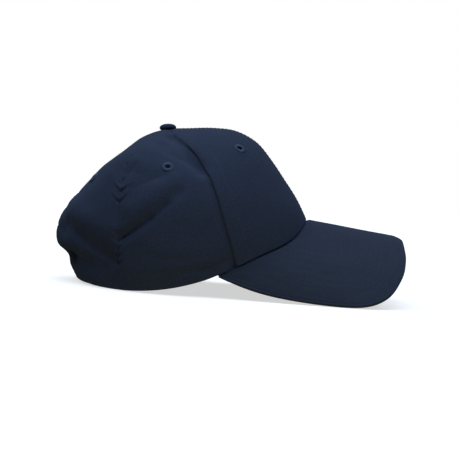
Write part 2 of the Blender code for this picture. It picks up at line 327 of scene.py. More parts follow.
# The camera: what it looks at, its distance, its elevation and roll in degrees, and its lens
VIEW_TARGET = (0.033, 0.0, 0.0468)
VIEW_DISTANCE = 1.0
VIEW_ELEVATION = 2.0
VIEW_ROLL = 4.35
LENS = 101.6

# How finely the pieces are divided
PANEL_COLUMNS = 92
PANEL_ROWS = 136
VISOR_COLUMNS = 230
VISOR_ROWS = 64
EDGE_STEPS = 4
EDGE_POINTS = 260
ANGLE_STEP = 0.5
WAY_STEP = 0.004
RIB_STEP = 0.02


def length_property(name, description, default):
    """A length for the panel."""
    return FloatProperty(name=name, description=description, default=default, unit="LENGTH")


def colour_property(name, description, default):
    """A colour for the panel."""
    return FloatVectorProperty(
        name=name, description=description, default=default,
        subtype="COLOR", size=3, min=0.0, max=1.0,
    )


class CapSizes(bpy.types.PropertyGroup):
    """Sizes of the sewn details."""

    front_wall: length_property("Front cloth", "Thickness of the stiffened front panels", 0.0018)
    soft_wall: length_property("Soft cloth", "Thickness of the side and rear panels", 0.0014)
    seam_gap: length_property(
        "Seam gap", "Gap between two panels, below nought where they overlap", -0.0001)
    edge_roll: length_property("Edge roll", "Radius of the turned edge at the hem", 0.0007)
    visor_tuck: length_property(
        "Visor tuck", "How far the visor reaches in past the crown's hem", 0.0032)
    pucker: length_property("Pucker", "Height of the puckers along the back corner seams", 0.00080)
    board: length_property("Visor board", "Thickness of the stiff top of the visor", 0.0019)
    under_cloth: length_property(
        "Visor underside", "Thickness of the cloth under the visor", 0.0010)
    eyelet_radius: length_property("Eyelet radius", "Outer radius of a sewn eyelet", 0.0043)
    eyelet_bore: length_property("Eyelet bore", "Radius of the hole in a sewn eyelet", 0.0017)
    button_radius: length_property("Button radius", "Radius of the covered button", 0.0064)
    button_rise: length_property("Button rise", "Height of the covered button", 0.0041)
    button_sink: length_property(
        "Button sink", "How far the button's underside presses into the cloth", 0.0012)
    stitch_length: length_property(
        "Stitch length", "Length of one stitch of the topstitching", 0.0023)
    stitch_gap: length_property("Stitch gap", "Gap between two stitches", 0.0007)
    thread_radius: length_property("Thread radius", "Radius of the sewing thread", 0.00019)


class CapColours(bpy.types.PropertyGroup):
    """Colours of the cloth and thread."""

    crown: colour_property("Crown cloth", "Colour of the crown's twill", (0.0136, 0.0206, 0.0405))
    visor: colour_property("Visor cloth", "Colour of the visor's twill", (0.0136, 0.0193, 0.0335))
    inside: colour_property("Inner cloth", "Colour of the inner face", (0.0120, 0.0160, 0.0250))
    thread: colour_property("Thread", "Colour of the sewing thread", (0.0160, 0.0260, 0.0520))
    floor: colour_property("Floor", "Colour of the studio floor", (0.50, 0.50, 0.50))


def sizes():
    """The sizes in use."""
    return bpy.context.scene.cap_sizes


def colours():
    """The colours in use."""
    return bpy.context.scene.cap_colours


def along(rows, place):
    """The rows at places counted in rows, on a smooth curve through a table's rows."""
    start = np.clip(np.floor(place).astype(int), 0, len(rows) - 2)
    part = (place - start)[:, None]
    second = rows[start]
    third = rows[start + 1]
    first = np.where((start > 0)[:, None], rows[np.maximum(start - 1, 0)], 2 * second - third)
    after = rows[np.minimum(start + 2, len(rows) - 1)]
    fourth = np.where((start + 2 < len(rows))[:, None], after, 2 * third - second)
    curve = (2 * first - 5 * second + 4 * third - fourth) * part
    curve += (3 * second - first - 3 * third + fourth) * part * part
    return second + 0.5 * part * (third - first + curve)


def crown_levels():
    """The crown's levels and one beyond the top, so that the cloth is round under the button."""
    near = CROWN_LEVELS[-2]
    depth = REAR_REACH / FRONT_REACH
    beyond = (
        -near[REAR_OUT] * depth, near[REAR_UP],
        -near[BACK_OUT] * depth, -near[BACK_WIDE], near[BACK_UP],
        -near[TEMPLE_OUT] / depth, -near[TEMPLE_WIDE], near[TEMPLE_UP],
        -near[FRONT_OUT] / depth, near[FRONT_UP],
    )
    return np.array(CROWN_LEVELS + (beyond,))


LEVELS = crown_levels()


def around(front, temple, back, rear, angle):
    """A length that takes its four seam values at 0, 60, 120 and 180 degrees, smoothly."""
    level = (front + rear + 2 * temple + 2 * back) / 6
    first = (front - rear + temple - back) / 3
    second = (front + rear - temple - back) / 3
    third = (front - rear - 2 * temple + 2 * back) / 6
    bend = second * np.cos(2 * angle) + third * np.cos(3 * angle)
    return level + first * np.cos(angle) + bend


def crown_base(degrees, way):
    """The crown's outer face before its folds. Angles run from the front to the left side."""
    row = along(LEVELS, way * (len(LEVELS) - 2)).T
    angle = np.radians(degrees)
    forward = around(
        row[FRONT_OUT] * FRONT_REACH,
        row[TEMPLE_OUT] * FRONT_REACH,
        -row[BACK_OUT] * REAR_REACH,
        -row[REAR_OUT] * REAR_REACH,
        angle,
    )
    wide = (row[TEMPLE_WIDE] + row[BACK_WIDE]) / math.sqrt(3) * np.sin(angle)
    wide += (row[TEMPLE_WIDE] - row[BACK_WIDE]) / math.sqrt(3) * np.sin(2 * angle)
    up = around(row[FRONT_UP], row[TEMPLE_UP], row[BACK_UP], row[REAR_UP], angle)
    dip = VISOR_DIP * np.maximum(0.0, 1 - way / DIP_RISE) ** 2
    dip *= (np.sin(3 * angle) * np.maximum(0.0, np.cos(angle))) ** 2
    place = (forward - BUTTON_SETBACK, wide * HALF_WIDTH, up * CROWN_HEIGHT - dip)
    return np.stack(place, axis=1)


def unit(vectors):
    """The vectors at length one."""
    return vectors / np.maximum(np.linalg.norm(vectors, axis=1, keepdims=True), 1e-12)


def crown_normal(degrees, way):
    """The directions out of the crown."""
    level = np.clip(way, WAY_STEP, 1 - 4 * WAY_STEP)
    across = crown_base(degrees + ANGLE_STEP, level) - crown_base(degrees - ANGLE_STEP, level)
    upward = crown_base(degrees, level + WAY_STEP) - crown_base(degrees, level - WAY_STEP)
    return unit(np.cross(across, upward))


def span_per_degree(degrees, way):
    """How many metres one degree covers along a level."""
    over = crown_base(degrees + ANGLE_STEP, way) - crown_base(degrees - ANGLE_STEP, way)
    return np.linalg.norm(over, axis=1) / (2 * ANGLE_STEP)


def rise_per_way(degrees, way):
    """How many metres a full way covers up a meridian."""
    low = np.maximum(way - WAY_STEP, 0.0)
    high = np.minimum(way + WAY_STEP, 1.0)
    up = crown_base(degrees, high) - crown_base(degrees, low)
    return np.linalg.norm(up, axis=1) / (high - low)


def fold_height(degrees, way, folds, side):
    """How far a table of folds moves the cloth of one side out or in."""
    here = crown_base(degrees, way)
    height = np.zeros(len(degrees))
    for angle, low, end_angle, high, width, share in folds:
        ends = crown_base(side * np.array([angle, end_angle]), np.array([low, high]))
        run = ends[1] - ends[0]
        part = np.clip((here - ends[0]) @ run / (run @ run), 0.0, 1.0)
        turn = side * (angle + part * (end_angle - angle))
        nearest = crown_base(turn, low + part * (high - low))
        distance = np.linalg.norm(here - nearest, axis=1) / (width * HALF_WIDTH)
        height += share * FOLD_DEPTH * np.exp(-distance * distance)
    return height


def soft_waves(points, seed, size):
    """Low, uneven waves between -1 and 1 for any points in space."""
    rng = np.random.default_rng(seed)
    total = np.zeros(len(points))
    for _ in range(WAVE_COUNT):
        direction = unit(rng.normal(size=(1, 3)))[0] / (size * rng.uniform(*WAVE_SPREAD))
        total += np.sin(points @ direction * 2 * math.pi + rng.uniform(0, 2 * math.pi))
    return total / 4.0


def seam_height(degrees, way):
    """How the cloth draws in along its seams, with puckers along those at the back corners."""
    size = sizes()
    turn = np.abs(degrees)
    span = span_per_degree(degrees, way)
    sunk = np.zeros(len(degrees))
    for seam, near_depth, near_width, far_depth, far_width, _ in SEAM_FORMS:
        away = (turn - seam) * span
        width = np.where(away > 0, far_width, near_width)
        depth = np.where(away > 0, far_depth, near_depth)
        sunk = np.maximum(sunk, depth * np.exp(-(away / width) ** 2))
    clear_of_top = np.clip((top_reach(degrees, way) - FADE_START) / FADE_LENGTH, 0.0, 1.0)
    return pucker_height(turn, way, span, size.pucker) - sunk * clear_of_top


def pucker_height(turn, way, span, tall):
    """Puckers that rise away from the seams at the back corners like a row of letters V."""
    height = np.zeros(len(turn))
    away = np.abs(turn - 120.0) * span
    length = rise_per_way(np.array([120.0]), np.array([0.3]))[0]
    upward = way * length
    rng = np.random.default_rng(11)
    for level, share in PUCKERS:
        for side in (-1.0, 1.0):
            lean = rng.uniform(*PUCKER_LEAN)
            line = upward - level * length - lean * away
            ridge = np.exp(-((line - RIDGE_PLACE) / RIDGE_WIDTH) ** 2)
            ridge = ridge - GROOVE_SHARE * np.exp(-(line / GROOVE_WIDTH) ** 2)
            reach = np.exp(-(away / (PUCKER_RUN * (0.6 + 0.5 * share))) ** 2)
            here = np.sign(turn - 120.0) == side
            height += tall * share * ridge * reach * here
    return height


def cloth_height(degrees, way):
    """Everything that moves the crown's cloth out or in from its plain form."""
    height = np.zeros(len(degrees))
    for side, folds in ((-1.0, RIGHT_FOLDS), (1.0, LEFT_FOLDS)):
        here = degrees < 0 if side < 0 else degrees >= 0
        if here.any():
            found = fold_height(degrees[here], way[here], folds, side)
            found += fold_height(degrees[here], way[here], CREASES, side)
            height[here] = found
    points = crown_base(degrees, way)
    soft = np.clip((np.abs(degrees) - SOFT_FROM) / SOFT_SPAN, FRONT_SHARE, 1.0)
    for tall, seed, size in CROWN_WAVES:
        height += tall * soft * soft_waves(points, seed, size)
    return height + seam_height(degrees, way)


def crown_cloth(degrees, way):
    """The crown's finished outer face and its directions out."""
    normal = crown_normal(degrees, way)
    return crown_base(degrees, way) + normal * cloth_height(degrees, way)[:, None], normal


def top_reach(degrees, way):
    """How far out from the button's axis the cloth is."""
    place = crown_base(degrees, way)
    return np.hypot(place[:, 0] + BUTTON_SETBACK, place[:, 1])


def tip_way(degrees):
    """The level at which the cloth stops short of the button's shank."""
    near_top = np.full(len(degrees), NEAR_TOP)
    return 1 - (1 - near_top) * TIP_HOLE / top_reach(degrees, near_top)


def rounded_shares(count, length, first_roll, last_roll):
    """Shares over a length with close steps at both ends, and how far each step drops."""
    turn = np.linspace(0.0, 0.5 * math.pi, EDGE_STEPS + 1)
    start = first_roll * (1 - np.cos(turn)) / length
    end = 1 - last_roll * (1 - np.cos(turn))[::-1] / length
    inner = np.linspace(start[-1], end[0], count)[1:-1]
    shares = np.concatenate([start, inner, end])
    fall = 1 - np.sin(turn)
    drop = np.concatenate([first_roll * fall, np.zeros(len(inner)), last_roll * fall[::-1]])
    return shares, drop


def new_object(name, data):
    """An object in the scene for a mesh, a lamp or a camera."""
    made = bpy.data.objects.new(name, data)
    bpy.context.scene.collection.objects.link(made)
    return made


def dress(piece, *names):
    """Give a piece its materials."""
    for name in names:
        piece.data.materials.append(bpy.data.materials[name])


def shell_piece(name, outer, inner, flat, shape, hole=None):
    """A closed cloth piece between two grids of points, with a map in metres."""
    rows, columns = shape
    count = rows * columns
    corner = (np.arange(rows - 1)[:, None] * columns + np.arange(columns - 1)[None, :]).ravel()
    quads = np.stack([corner, corner + 1, corner + columns + 1, corner + columns], axis=1)
    if hole is not None:
        centre, radius = hole
        middle = outer[quads].mean(axis=1)
        quads = quads[np.linalg.norm(middle - centre, axis=1) > radius]
    starts = quads.ravel()
    ends = np.roll(quads, -1, axis=1).ravel()
    open_edge = ~np.isin(starts * count + ends, ends * count + starts)
    rim_start = starts[open_edge]
    rim_end = ends[open_edge]
    rim = np.stack([rim_end, rim_start, rim_start + count, rim_end + count], axis=1)
    faces = np.concatenate([quads, quads[:, ::-1] + count, rim])
    used, faces = np.unique(faces, return_inverse=True)
    points = np.concatenate([outer, inner])[used]
    flat = np.concatenate([flat, flat])[used]
    faces = faces.reshape(-1, 4)
    mesh = bpy.data.meshes.new(name)
    mesh.from_pydata(points.tolist(), [], faces.tolist())
    layer = mesh.uv_layers.new(name="cloth")
    layer.data.foreach_set("uv", flat[faces.ravel()].astype(np.float32).ravel())
    mesh.shade_smooth()
    inside = np.zeros(len(faces), np.int32)
    inside[len(quads):2 * len(quads)] = 1
    mesh.polygons.foreach_set("material_index", inside)
    mesh.update()
    return new_object(name, mesh)


def arc_lengths(points, axis):
    """Lengths along one axis of a grid of points, from its first row or column."""
    steps = np.linalg.norm(np.diff(points, axis=axis), axis=2)
    total = np.cumsum(steps, axis=axis)
    start = np.zeros_like(total[:1, :] if axis == 0 else total[:, :1])
    return np.concatenate([start, total], axis=axis)


def make_panel(label, side, word, low, high, eyelet_angle, eyelet_way):
    """One panel of the crown with turned edges and the hole for its eyelet."""
    size = sizes()
    first, last = (low, high) if side > 0 else (-high, -low)
    wall = size.front_wall if label == "front" else size.soft_wall
    middle = 0.5 * (first + last)
    length = rise_per_way(np.array([middle]), np.array([0.4]))[0]
    ways, rolled = rounded_shares(PANEL_ROWS, length, size.edge_roll, PLAIN_ROLL)
    lines = []
    drops = []
    for way in ways:
        degrees = np.array([first, last])
        here = tip_way(degrees) * way
        width = abs(last - first) * span_per_degree(np.array([middle]), here[:1])[0]
        most = LEAST_ROLL + ROLL_SHARE * width
        rolls = [min(SEAM_ROLLS[abs(seam)], most) for seam in (first, last)]
        shares, drop = rounded_shares(PANEL_COLUMNS, width, *rolls)
        margin = 0.5 * size.seam_gap / width
        lines.append(first + (last - first) * (margin + (1 - 2 * margin) * shares))
        drops.append(drop)
    degrees = np.array(lines)
    shape = degrees.shape
    drop = np.maximum(np.array(drops), rolled[:, None])
    degrees = degrees.ravel()
    way = np.repeat(ways, shape[1]) * tip_way(degrees)
    cloth, normal = crown_cloth(degrees, way)
    outer = cloth - normal * drop.ravel()[:, None]
    inner = cloth - normal * wall
    grid = crown_base(degrees, way).reshape(shape + (3,))
    across = arc_lengths(grid, 1)
    across -= across[:, shape[1] // 2][:, None]
    upward = np.repeat(arc_lengths(grid, 0)[:, shape[1] // 2][:, None], shape[1], axis=1)
    flat = np.stack([across, upward], axis=2).reshape(-1, 2)
    centre = crown_cloth(np.array([side * eyelet_angle]), np.array([eyelet_way]))[0][0]
    hole = (centre, size.eyelet_bore + HOLE_MARGIN)
    node = f"{label}_panel_{word}"
    piece = shell_piece(f"{label}_cloth_{word}", outer, inner, flat, shape, hole)
    dress(piece, "crown_twill", "inner_twill")
    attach(piece, "root")
    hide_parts(node)


def all_ribs():
    """The visor's ribs from one end to the other, so that its middle is smooth."""
    far = [(-angle, reach, -flare, up) for angle, reach, flare, up in VISOR_RIBS[:0:-1]]
    return np.array(far + list(VISOR_RIBS))


RIBS = all_ribs()


def visor_surface(across, out):
    """The visor's top, from its right end at -1 to its left at 1, and from hem to edge."""
    rib = along(RIBS, (0.5 + 0.5 * across) * (len(RIBS) - 1))
    hem = crown_base(rib[:, 0], np.zeros(len(rib)))
    edge = np.stack([
        hem[:, 0] + rib[:, 1] * VISOR_REACH,
        hem[:, 1] + rib[:, 2] * VISOR_FLARE,
        rib[:, 3] * CROWN_HEIGHT,
    ], axis=1)
    place = hem + (edge - hem) * out[:, None]
    near_edge = np.clip((out - TIP_START) / (1 - TIP_START), 0.0, 1.0)
    place[:, 2] -= TIP_DROOP * near_edge ** 2 * np.exp(-(across / TIP_SPREAD) ** 2)
    return place


def visor_forth(across):
    """The ways from the hem to the visor's edge."""
    count = len(across)
    return visor_surface(across, np.ones(count)) - visor_surface(across, np.zeros(count))


def visor_down(across, out):
    """The directions down out of the visor's top."""
    low = np.maximum(across - RIB_STEP, -1.0)
    high = np.minimum(across + RIB_STEP, 1.0)
    over = visor_surface(high, out) - visor_surface(low, out)
    return unit(np.cross(over, visor_forth(across)))


def groove(form, distance):
    """A groove's depth at distances from its line."""
    depth, width = form
    return depth * np.exp(-(distance / width) ** 2)


def visor_rise(points, edge_distance, hem_distance):
    """How the visor's cloth stands off its board: soft waves and sewn channels."""
    tall, size = VISOR_WAVES
    rise = tall * soft_waves(points, 21, size)
    rise -= groove(EDGE_GROOVE, edge_distance - EDGE_GROOVE_IN)
    rise -= groove(HEM_TUCK, np.maximum(hem_distance, 0.0))
    for channel in CHANNELS:
        rise -= groove(CHANNEL, edge_distance - channel)
    return rise


def visor_edge_distance(points):
    """How far points on the visor are from its outer edge."""
    edge = visor_surface(np.linspace(-1.0, 1.0, EDGE_POINTS), np.ones(EDGE_POINTS))
    distance = np.full(len(points), 1.0)
    for first, second in zip(edge[:-1], edge[1:]):
        run = second - first
        part = np.clip((points - first) @ run / (run @ run), 0.0, 1.0)
        gap = np.linalg.norm(points - (first + part[:, None] * run), axis=1)
        distance = np.minimum(distance, gap)
    return distance


def visor_grid():
    """The visor's grid: places across and out, and how far the turned edge drops."""
    size = sizes()
    roll = VISOR_ROLL * size.board
    across, side_drop = rounded_shares(VISOR_COLUMNS, VISOR_ARC, roll, roll)
    across = 1 - 2 * across
    lines = []
    drops = []
    for place in across:
        ends = visor_surface(np.array([place, place]), np.array([0.0, 1.0]))
        reach = max(np.linalg.norm(ends[1] - ends[0]), LEAST_REACH)
        length = reach + size.visor_tuck
        shares, drop = rounded_shares(VISOR_ROWS, length, PLAIN_ROLL, min(roll, 0.3 * length))
        lines.append(1 - (1 - shares) * length / reach)
        drops.append(drop)
    out = np.array(lines)
    drop = np.maximum(np.array(drops), side_drop[:, None])
    return np.repeat(across, out.shape[1]), out.ravel(), drop.ravel(), out.shape


def make_visor_pieces():
    """The visor's covered board and the cloth under it."""
    size = sizes()
    across, out, drop, shape = visor_grid()
    place = visor_surface(across, out)
    down = visor_down(across, out)
    edge = visor_edge_distance(place)
    reach = np.linalg.norm(visor_forth(across), axis=1)
    rise = visor_rise(place, edge, out * reach)
    grid = place.reshape(shape + (3,))
    over = arc_lengths(grid, 0)
    over = np.repeat((over - over[shape[0] // 2])[:, -1][:, None], shape[1], axis=1)
    forth = arc_lengths(grid, 1)
    flat = np.stack([over, forth], axis=2).reshape(-1, 2)
    lip = np.clip(drop / (VISOR_ROLL * size.board), 0.0, 1.0)
    from_end = np.clip((1 - np.abs(across)) * 0.5 * VISOR_ARC / END_TAPER, 0.0, 1.0)
    thin = END_SHARE + (1 - END_SHARE) * from_end * (2 - from_end)
    top_outer = place - down * rise[:, None] + down * (drop * thin * 0.95)[:, None]
    top_inner = place + down * (size.board * thin)[:, None]
    top = shell_piece("visor_top_cloth", top_outer, top_inner, flat, shape)
    top.data.flip_normals()
    base = size.board * thin + LAYER_GAP
    inner = place + down * base[:, None]
    thick = size.under_cloth * thin * (1 - 0.8 * lip * lip)
    under_outer = place + down * (base + thick + 0.6 * rise)[:, None]
    under = shell_piece("visor_under_cloth", under_outer, inner, flat, shape)
    for piece, node in ((top, "visor_top"), (under, "visor_underside")):
        dress(piece, "visor_twill", "inner_twill")
        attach(piece, "root")
        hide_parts(node)


def new_group(name, inputs, outputs):
    """An empty shader node group with named sockets."""
    tree = bpy.data.node_groups.new(name, "ShaderNodeTree")
    for label, kind, default in inputs:
        socket = tree.interface.new_socket(name=label, in_out="INPUT", socket_type=kind)
        if default is not None:
            socket.default_value = default
    for label, kind in outputs:
        tree.interface.new_socket(name=label, in_out="OUTPUT", socket_type=kind)
    return tree, tree.nodes.new("NodeGroupInput"), tree.nodes.new("NodeGroupOutput")


def set_inputs(node, **values):
    """Set a node's sockets. An underscore stands for a space in a socket's name."""
    for name, value in values.items():
        node.inputs[name.replace("_", " ")].default_value = value


def new_node(tree, kind, **values):
    """A shader node of a kind with its sockets set."""
    node = tree.nodes.new(f"ShaderNode{kind}")
    set_inputs(node, **values)
    return node


def math_node(tree, operation, first, second=None, third=None):
    """A maths node on sockets or numbers; gives back its result."""
    node = new_node(tree, "Math")
    node.operation = operation
    for socket, value in zip(node.inputs, (first, second, third)):
        if value is None:
            continue
        if isinstance(value, (int, float)):
            socket.default_value = value
        else:
            tree.links.new(value, socket)
    return node.outputs[0]


def mix_colour(tree, share, first, second):
    """A mix of two colours; each may be a socket or a colour."""
    node = new_node(tree, "Mix")
    node.data_type = "RGBA"
    for number, value in ((0, share), (6, first), (7, second)):
        socket = node.inputs[number]
        if isinstance(value, (int, float)):
            socket.default_value = value
        elif isinstance(value, (tuple, list)):
            socket.default_value = (*value[:3], 1.0)
        else:
            tree.links.new(value, socket)
    return node.outputs[2]


def noise_node(tree, vector, scale, detail, roughness=0.5):
    """A noise texture; gives back its value."""
    node = new_node(tree, "TexNoise", Scale=scale, Detail=detail, Roughness=roughness)
    tree.links.new(vector, node.inputs["Vector"])
    return node.outputs["Fac"]


def wave_node(tree, turns):
    """A wave from 0 to 1 over each whole turn."""
    wave = math_node(tree, "SINE", math_node(tree, "MULTIPLY", turns, 2 * math.pi))
    return math_node(tree, "MULTIPLY_ADD", wave, 0.5, 0.5)


def group_node(tree, group, vector):
    """A group of nodes fed with a place."""
    node = new_node(tree, "Group")
    node.node_tree = group
    tree.links.new(vector, node.inputs["Vector"])
    return node


def new_finish(name):
    """A new material; gives back its node tree and its shader."""
    made = bpy.data.materials.new(name)
    made.use_nodes = True
    return made.node_tree, made.node_tree.nodes["Principled BSDF"]


def finish_surface(tree, shader, rough, height, bump):
    """Link a shader's roughness, and a bump of a strength and a distance."""
    tree.links.new(rough, shader.inputs["Roughness"])
    bumped = new_node(tree, "Bump", Strength=bump[0], Distance=bump[1])
    tree.links.new(height, bumped.inputs["Height"])
    tree.links.new(bumped.outputs["Normal"], shader.inputs["Normal"])


def twill_group():
    """Diagonal ribs of a cotton twill crossed by its finer weft, in metres on the cloth's map."""
    tree, start, end = new_group(
        "twill_weave",
        [("Vector", "NodeSocketVector", None), ("Pitch", "NodeSocketFloat", 0.0008)],
        [("Height", "NodeSocketFloat"), ("Shade", "NodeSocketFloat")],
    )
    split = new_node(tree, "SeparateXYZ")
    tree.links.new(start.outputs["Vector"], split.inputs[0])
    wobble = noise_node(tree, start.outputs["Vector"], 260.0, 2.0)
    wobble = math_node(tree, "MULTIPLY", math_node(tree, "SUBTRACT", wobble, 0.5), 0.0006)
    rise = math_node(tree, "MULTIPLY", split.outputs["Y"], 0.72)
    lean = math_node(tree, "ADD", math_node(tree, "ADD", split.outputs["X"], rise), wobble)
    turns = math_node(tree, "DIVIDE", lean, start.outputs["Pitch"])
    rib = wave_node(tree, turns)
    weft_turns = math_node(tree, "DIVIDE", split.outputs["Y"], start.outputs["Pitch"])
    weft = wave_node(tree, math_node(tree, "MULTIPLY", weft_turns, 1.4))
    both = math_node(tree, "MULTIPLY", rib, math_node(tree, "MULTIPLY_ADD", weft, 0.35, 0.65))
    fuzz = noise_node(tree, start.outputs["Vector"], 3800.0, 2.0, 0.6)
    height = math_node(tree, "ADD", both, math_node(tree, "MULTIPLY", fuzz, 0.35))
    tree.links.new(height, end.inputs["Height"])
    tree.links.new(both, end.inputs["Shade"])
    return tree


def wear_group():
    """Slow changes of dye, fine lint and pale slubs, as masks."""
    tree, start, end = new_group(
        "dye_and_lint",
        [("Vector", "NodeSocketVector", None)],
        [("Dye", "NodeSocketFloat"), ("Lint", "NodeSocketFloat"), ("Slub", "NodeSocketFloat")],
    )
    dye = noise_node(tree, start.outputs["Vector"], 38.0, 4.0, 0.55)
    tree.links.new(dye, end.inputs["Dye"])
    lint = noise_node(tree, start.outputs["Vector"], 620.0, 3.0, 0.75)
    ramp = new_node(tree, "MapRange", From_Min=0.50, From_Max=0.76)
    tree.links.new(lint, ramp.inputs["Value"])
    tree.links.new(ramp.outputs[0], end.inputs["Lint"])
    stretch = new_node(tree, "Mapping", Scale=(1.0, 9.0, 1.0))
    tree.links.new(start.outputs["Vector"], stretch.inputs["Vector"])
    slub = noise_node(tree, stretch.outputs[0], 170.0, 2.0, 0.6)
    tree.links.new(slub, end.inputs["Slub"])
    return tree


def cloth_material(name, colour, pitch, bump, sheen, groups):
    """A dyed cotton twill."""
    tree, shader = new_finish(name)
    place = new_node(tree, "TexCoord").outputs["UV"]
    weave = group_node(tree, groups["twill"], place)
    set_inputs(weave, Pitch=pitch)
    wear = group_node(tree, groups["wear"], place)
    dark = tuple(0.80 * c for c in colour)
    light = (1.22 * colour[0] + 0.001, 1.18 * colour[1] + 0.001, 1.14 * colour[2] + 0.001)
    base = mix_colour(tree, wear.outputs["Dye"], dark, light)
    ribs = math_node(tree, "MULTIPLY", weave.outputs["Shade"], 0.42)
    ribs = math_node(tree, "ADD", ribs, math_node(tree, "MULTIPLY", wear.outputs["Slub"], 0.70))
    lighter = tuple(1.9 * c + 0.002 for c in colour)
    base = mix_colour(tree, math_node(tree, "MULTIPLY", ribs, 0.45), base, lighter)
    lint = tuple(3.2 * c + 0.006 for c in colour)
    base = mix_colour(tree, math_node(tree, "MULTIPLY", wear.outputs["Lint"], 0.27), base, lint)
    tree.links.new(base, shader.inputs["Base Color"])
    rough = math_node(tree, "MULTIPLY_ADD", wear.outputs["Slub"], 0.10, 0.84)
    finish_surface(tree, shader, rough, weave.outputs["Height"], (bump, 0.00016))
    set_inputs(shader, Specular_IOR_Level=0.10, Sheen_Weight=sheen, Sheen_Roughness=0.45)
    set_inputs(shader, Sheen_Tint=(0.55, 0.68, 1.0, 1.0))


def thread_material(name, colour, shine, sheen):
    """A twisted sewing thread."""
    tree, shader = new_finish(name)
    place = new_node(tree, "TexCoord").outputs["Object"]
    grain = noise_node(tree, place, 2600.0, 2.0)
    dark = tuple(0.65 * c for c in colour)
    light = tuple(1.45 * c for c in colour)
    tree.links.new(mix_colour(tree, grain, dark, light), shader.inputs["Base Color"])
    rough = math_node(tree, "MULTIPLY_ADD", grain, 0.15, 0.55)
    finish_surface(tree, shader, rough, grain, (0.5, 0.00004))
    set_inputs(shader, Specular_IOR_Level=shine, Sheen_Weight=sheen)


def make_tapes():
    """Narrow tapes that cover the crown's seams inside."""
    size = sizes()
    shape = (TAPE_ROWS, TAPE_COLUMNS)
    for seam, word in ((0.0, "front"), (60.0, "temple_left"), (-60.0, "temple_right"),
                       (120.0, "back_left"), (-120.0, "back_right"), (180.0, "rear")):
        way = np.linspace(*TAPE_SPAN, TAPE_ROWS)
        middle = np.full(TAPE_ROWS, seam)
        half = np.minimum(TAPE_HALF_WIDTH / span_per_degree(middle, way), 30.0)
        across = np.linspace(-1.0, 1.0, TAPE_COLUMNS)
        degrees = (middle[:, None] + half[:, None] * across[None, :]).ravel()
        degrees = np.where(degrees > 180.0, degrees - 360.0, degrees)
        ways = np.repeat(way, TAPE_COLUMNS)
        normal = crown_normal(degrees, ways)
        soft = cloth_height(degrees, ways)[:, None]
        wall = size.front_wall if abs(seam) <= 60.0 else size.soft_wall
        outer = crown_base(degrees, ways) + normal * (soft - wall * TAPE_SINK)
        inner = outer - normal * TAPE_WALL
        over = np.tile(across * TAPE_HALF_WIDTH, TAPE_ROWS)
        flat = np.stack([over, ways * TAPE_MAP], axis=1)
        piece = shell_piece(f"seam_tape_{word}", outer, inner, flat, shape)
        dress(piece, "inner_twill", "inner_twill")
        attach(piece, "root")


def make_materials():
    """All the finishes, built once."""
    groups = {"twill": twill_group(), "wear": wear_group()}
    for name, key, pitch, bump, sheen in CLOTHS:
        cloth_material(name, tuple(getattr(colours(), key)), pitch, bump, sheen, groups)
    for name, key, share, shine, sheen in THREADS:
        colour = tuple(share * c for c in getattr(colours(), key))
        thread_material(name, colour, shine, sheen)


def place_matrix(centre, outward, upward=(0.0, 0.0, 1.0)):
    """Turns +Z to a direction, with +Y as near as may be to another."""
    z = Vector(outward).normalized()
    x = Vector(upward).cross(z)
    x = x.normalized() if x.length > 1e-6 else Vector((1.0, 0.0, 0.0))
    y = z.cross(x)
    turn = Matrix((x, y, z)).transposed().to_4x4()
    return Matrix.Translation(Vector(centre)) @ turn


def mesh_points(piece):
    """A mesh's points as an array."""
    points = np.zeros(len(piece.data.vertices) * 3, np.float32)
    piece.data.vertices.foreach_get("co", points)
    return points.reshape(-1, 3).astype(float)


def set_points(piece, points):
    """Give a mesh its points."""
    piece.data.vertices.foreach_set("co", points.astype(np.float32).ravel())
    piece.data.update()


def clear_selection():
    """Leave nothing selected before a primitive is added."""
    bpy.ops.object.select_all(action="DESELECT")


def polar(points):
    """Each point's distance from the upright axis and its angle round it."""
    return np.hypot(points[:, 0], points[:, 1]), np.arctan2(points[:, 1], points[:, 0])


def from_polar(reach, angle, height):
    """Points at distances from the axis, angles round it and heights."""
    return np.stack([reach * np.cos(angle), reach * np.sin(angle), height], axis=1)


def eyelet_model():
    """One eyelet of satin stitches laid round its hole, lying flat at the origin."""
    size = sizes()
    middle = 0.5 * (size.eyelet_radius + size.eyelet_bore)
    half = 0.5 * (size.eyelet_radius - size.eyelet_bore)
    clear_selection()
    bpy.ops.mesh.primitive_torus_add(
        major_segments=RING_STITCHES * RING_STEPS, minor_segments=RING_SIDES,
        major_radius=middle, minor_radius=half, generate_uvs=True,
    )
    ring = bpy.context.object
    points = mesh_points(ring)
    reach, angle = polar(points)
    reach -= middle
    rng = np.random.default_rng(3)
    uneven = rng.uniform(-1.0, 1.0, RING_STITCHES)
    turn = (angle / (2 * math.pi) * RING_STITCHES) % RING_STITCHES
    which = np.floor(turn).astype(int) % RING_STITCHES
    ridge = np.sqrt(np.maximum(0.0, 1 - (2 * (turn - np.floor(turn)) - 1) ** 2))
    lift = (RING_LOW + RING_RIDGE * ridge) * (1 + UNEVEN_HEIGHT * uneven[which])
    height = points[:, 2] * (RING_HEIGHT / half * lift)
    stretch = 1 + UNEVEN_REACH * uneven[which] * (reach > 0)
    set_points(ring, from_polar(middle + reach * stretch, angle, height))
    bpy.ops.object.shade_smooth()
    dress(ring, "eyelet_satin")
    return ring


